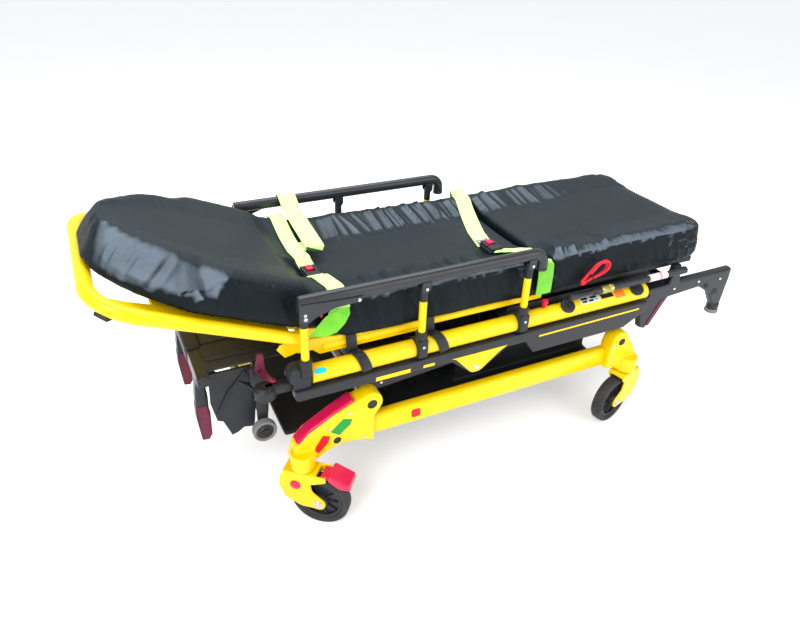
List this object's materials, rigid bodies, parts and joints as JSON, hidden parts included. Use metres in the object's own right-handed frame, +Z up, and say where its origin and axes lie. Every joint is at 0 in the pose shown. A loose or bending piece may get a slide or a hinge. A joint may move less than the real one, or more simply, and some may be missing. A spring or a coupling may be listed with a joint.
{
  "type": "stretcher trolley",
  "caption": "Ambulance stretcher trolley: cushioned litter with raised backrest and side rails on a powered X-frame base with swivel casters",
  "frame": {"origin": "middle of the overall length and width, at floor level under the wheels", "axes": "+X towards the foot end, +Y towards the patient's left long side, +Z up"},
  "size_m": [1.8217, 0.793, 0.7787],
  "materials": {
    "yellow_paint": "glossy powder coat",
    "black_paint": "satin black powder coat",
    "black_plastic": "moulded, fine grain",
    "tyre_rubber": "matt, worn tread",
    "bright_steel": "ground shaft",
    "crimson_plastic": "gloss moulded",
    "maroon_plastic": "satin moulded",
    "black_vinyl": "coated fabric cover, soft sheen",
    "rubber_foot": "grey rubber",
    "lime_webbing": "woven polyester webbing",
    "silver_trim": "plated fasteners",
    "label_print": "plain colour marker labels",
    "red_cord": "braided cord"
  },
  "bodies": {
    "base": {"base_tube_near": "yellow_paint", "base_tube_far": "yellow_paint", "casting_head_near": "yellow_paint", "casting_head_far": "yellow_paint", "casting_foot_near": "yellow_paint", "casting_foot_far": "yellow_paint", "base_cross_tube": "bright_steel", "base_tray": "black_plastic"},
    "caster_head_near": {"fork_head_near": "yellow_paint"},
    "wheel_head_near": {"wheel_head_near": "tyre_rubber"},
    "pedal_near": {"brake_pedal_near": "crimson_plastic"},
    "caster_head_far": {"fork_head_far": "yellow_paint"},
    "wheel_head_far": {"wheel_head_far": "tyre_rubber"},
    "pedal_far": {"brake_pedal_far": "crimson_plastic"},
    "caster_foot_near": {"fork_foot_near": "yellow_paint"},
    "wheel_foot_near": {"wheel_foot_near": "tyre_rubber"},
    "caster_foot_far": {"fork_foot_far": "yellow_paint"},
    "wheel_foot_far": {"wheel_foot_far": "tyre_rubber"},
    "outer_legs": {"outer_leg_near": "black_paint", "outer_leg_far": "black_paint", "outer_cross_tube": "black_paint"},
    "inner_legs": {"inner_leg_near": "black_paint", "inner_leg_far": "black_paint", "inner_cross_tube": "bright_steel"},
    "litter": {"litter_tube_near": "yellow_paint", "litter_tube_far": "yellow_paint", "litter_rail_near": "black_paint", "litter_rail_far": "black_paint", "seat_deck": "yellow_paint", "pump_housing": "black_plastic", "lift_cylinder": "black_paint", "end_bar": "black_paint", "foot_arm_near": "black_paint", "foot_arm_far": "black_paint", "mattress_seat": "black_vinyl", "buckle_head": "black_plastic", "buckle_foot": "black_plastic"},
    "lift_rod": {"lift_rod": "bright_steel"},
    "rocker": {"lift_rocker": "crimson_plastic"},
    "post_near_1": {"rail_post_near_1": "yellow_paint"},
    "post_near_2": {"rail_post_near_2": "yellow_paint"},
    "post_near_3": {"rail_post_near_3": "yellow_paint"},
    "rail_near": {"side_rail_near": "black_paint"},
    "post_far_1": {"rail_post_far_1": "yellow_paint"},
    "post_far_2": {"rail_post_far_2": "yellow_paint"},
    "post_far_3": {"rail_post_far_3": "yellow_paint"},
    "rail_far": {"side_rail_far": "black_paint"},
    "backrest": {"backrest_frame": "yellow_paint", "mattress_back": "black_vinyl"},
    "release_handle": {"backrest_handle": "yellow_paint"},
    "head_section": {"head_frame": "black_paint"},
    "load_wheel_near": {"load_wheel_near": "tyre_rubber"},
    "load_wheel_far": {"load_wheel_far": "tyre_rubber"},
    "safety_bar": {"safety_bar": "maroon_plastic"},
    "head_release": {"head_release": "maroon_plastic"},
    "foot_section": {"foot_panel": "black_plastic", "mattress_foot": "black_vinyl"},
    "iv_pole": {"iv_pole": "black_paint"},
    "button_head": {"buckle_button_head": "crimson_plastic"},
    "button_foot": {"buckle_button_foot": "crimson_plastic"}
  },
  "joints": [
    {"name": "swivel_head_near", "type": "hinge", "parent": "base", "child": "caster_head_near", "pos_m": [-0.51209, -0.295, 0.15], "axis": [0, 0, 1], "continuous": true},
    {"name": "roll_head_near", "type": "hinge", "parent": "caster_head_near", "child": "wheel_head_near", "pos_m": [-0.47761, -0.32393, 0.075], "axis": [0.6428, 0.766, 0], "continuous": true},
    {"name": "brake_near", "type": "hinge", "parent": "caster_head_near", "child": "pedal_near", "pos_m": [-0.46842, -0.33164, 0.1605], "axis": [0.6428, 0.766, 0], "range_deg": [0, 10]},
    {"name": "swivel_head_far", "type": "hinge", "parent": "base", "child": "caster_head_far", "pos_m": [-0.51209, 0.295, 0.15], "axis": [0, 0, 1], "continuous": true},
    {"name": "roll_head_far", "type": "hinge", "parent": "caster_head_far", "child": "wheel_head_far", "pos_m": [-0.47761, 0.32393, 0.075], "axis": [-0.6428, 0.766, 0], "continuous": true},
    {"name": "brake_far", "type": "hinge", "parent": "caster_head_far", "child": "pedal_far", "pos_m": [-0.46842, 0.33164, 0.1605], "axis": [-0.6428, 0.766, 0], "range_deg": [0, 10]},
    {"name": "swivel_foot_near", "type": "hinge", "parent": "base", "child": "caster_foot_near", "pos_m": [0.50992, -0.295, 0.15], "axis": [0, 0, 1], "continuous": true},
    {"name": "roll_foot_near", "type": "hinge", "parent": "caster_foot_near", "child": "wheel_foot_near", "pos_m": [0.46645, -0.30665, 0.075], "axis": [0.2588, -0.9659, 0], "continuous": true},
    {"name": "swivel_foot_far", "type": "hinge", "parent": "base", "child": "caster_foot_far", "pos_m": [0.50992, 0.295, 0.15], "axis": [0, 0, 1], "continuous": true},
    {"name": "roll_foot_far", "type": "hinge", "parent": "caster_foot_far", "child": "wheel_foot_far", "pos_m": [0.46645, 0.30665, 0.075], "axis": [-0.2588, -0.9659, 0], "continuous": true},
    {"name": "lift", "type": "hinge", "parent": "base", "child": "outer_legs", "pos_m": [-0.33009, 0, 0.305], "axis": [0, -1, 0], "range_deg": [0, 50]},
    {"name": "leg_cross", "type": "hinge", "parent": "outer_legs", "child": "inner_legs", "pos_m": [0.07142, 0, 0.34], "axis": [0, -1, 0], "range_deg": [-100, 0]},
    {"name": "litter_level", "type": "hinge", "parent": "inner_legs", "child": "litter", "pos_m": [-0.33009, 0, 0.375], "axis": [0, -1, 0], "range_deg": [0, 50]},
    {"name": "rod_stroke", "type": "slide", "parent": "litter", "child": "lift_rod", "axis": [-1, 0, 0], "range_m": [0, 0.341]},
    {"name": "lift_rocker", "type": "hinge", "parent": "litter", "child": "rocker", "pos_m": [0.69291, 0, 0.417], "axis": [0, 1, 0], "range_deg": [-5, 5], "stiffness_Nm_per_rad": 0.5},
    {"name": "rail_fold_near", "type": "hinge", "parent": "litter", "child": "post_near_1", "pos_m": [-0.48708, -0.275, 0.4545], "axis": [0, 1, 0], "range_deg": [0, 70]},
    {"name": "post_fold_near_2", "type": "hinge", "parent": "litter", "child": "post_near_2", "pos_m": [-0.19209, -0.275, 0.4545], "axis": [0, 1, 0], "range_deg": [0, 70]},
    {"name": "post_fold_near_3", "type": "hinge", "parent": "litter", "child": "post_near_3", "pos_m": [0.10591, -0.275, 0.4545], "axis": [0, 1, 0], "range_deg": [0, 70]},
    {"name": "rail_level_near", "type": "hinge", "parent": "post_near_1", "child": "rail_near", "pos_m": [-0.48708, -0.275, 0.596], "axis": [0, 1, 0], "range_deg": [-70, 0]},
    {"name": "rail_fold_far", "type": "hinge", "parent": "litter", "child": "post_far_1", "pos_m": [-0.48708, 0.275, 0.4545], "axis": [0, 1, 0], "range_deg": [0, 70]},
    {"name": "post_fold_far_2", "type": "hinge", "parent": "litter", "child": "post_far_2", "pos_m": [-0.19209, 0.275, 0.4545], "axis": [0, 1, 0], "range_deg": [0, 70]},
    {"name": "post_fold_far_3", "type": "hinge", "parent": "litter", "child": "post_far_3", "pos_m": [0.10591, 0.275, 0.4545], "axis": [0, 1, 0], "range_deg": [0, 70]},
    {"name": "rail_level_far", "type": "hinge", "parent": "post_far_1", "child": "rail_far", "pos_m": [-0.48708, 0.275, 0.596], "axis": [0, 1, 0], "range_deg": [-70, 0]},
    {"name": "backrest_tilt", "type": "hinge", "parent": "litter", "child": "backrest", "pos_m": [-0.47708, 0, 0.502], "axis": [0, 1, 0], "range_deg": [-23, 50]},
    {"name": "backrest_release", "type": "hinge", "parent": "backrest", "child": "release_handle", "pos_m": [-0.63218, -0.172, 0.54611], "axis": [0, 1, 0], "range_deg": [0, 20], "stiffness_Nm_per_rad": 0.3},
    {"name": "head_extend", "type": "slide", "parent": "litter", "child": "head_section", "axis": [-1, 0, 0], "range_m": [0, 0.2]},
    {"name": "load_roll_near", "type": "hinge", "parent": "head_section", "child": "load_wheel_near", "pos_m": [-0.57708, -0.199, 0.231], "axis": [0, 1, 0], "continuous": true},
    {"name": "load_roll_far", "type": "hinge", "parent": "head_section", "child": "load_wheel_far", "pos_m": [-0.57708, 0.199, 0.231], "axis": [0, 1, 0], "continuous": true},
    {"name": "safety_swing", "type": "hinge", "parent": "head_section", "child": "safety_bar", "pos_m": [-0.70508, 0, 0.385], "axis": [0, -1, 0], "range_deg": [0, 35]},
    {"name": "head_release", "type": "hinge", "parent": "head_section", "child": "head_release", "pos_m": [-0.57708, -0.207, 0.418], "axis": [0, 1, 0], "range_deg": [0, 20], "stiffness_Nm_per_rad": 0.4},
    {"name": "knee_lift", "type": "hinge", "parent": "litter", "child": "foot_section", "pos_m": [0.20292, 0, 0.461], "axis": [0, -1, 0], "range_deg": [0, 15]},
    {"name": "pole_raise", "type": "hinge", "parent": "litter", "child": "iv_pole", "pos_m": [0.66792, -0.279, 0.465], "axis": [0, 1, 0], "range_deg": [0, 90]},
    {"name": "buckle_press_head", "type": "slide", "parent": "litter", "child": "button_head", "axis": [0, 0, -1], "range_m": [0, 0.0018], "stiffness_N_per_m": 400},
    {"name": "buckle_press_foot", "type": "slide", "parent": "litter", "child": "button_foot", "axis": [0, 0, -1], "range_m": [0, 0.0018], "stiffness_N_per_m": 400}
  ],
  "couplings": [
    {"joint": "leg_cross", "follows": "lift", "ratio": -2},
    {"joint": "litter_level", "follows": "lift", "ratio": 1},
    {"joint": "rod_stroke", "follows": "lift", "m_per_rad": 0.39014},
    {"joint": "post_fold_near_2", "follows": "rail_fold_near", "ratio": 1},
    {"joint": "post_fold_near_3", "follows": "rail_fold_near", "ratio": 1},
    {"joint": "rail_level_near", "follows": "rail_fold_near", "ratio": -1},
    {"joint": "post_fold_far_2", "follows": "rail_fold_far", "ratio": 1},
    {"joint": "post_fold_far_3", "follows": "rail_fold_far", "ratio": 1},
    {"joint": "rail_level_far", "follows": "rail_fold_far", "ratio": -1}
  ]
}
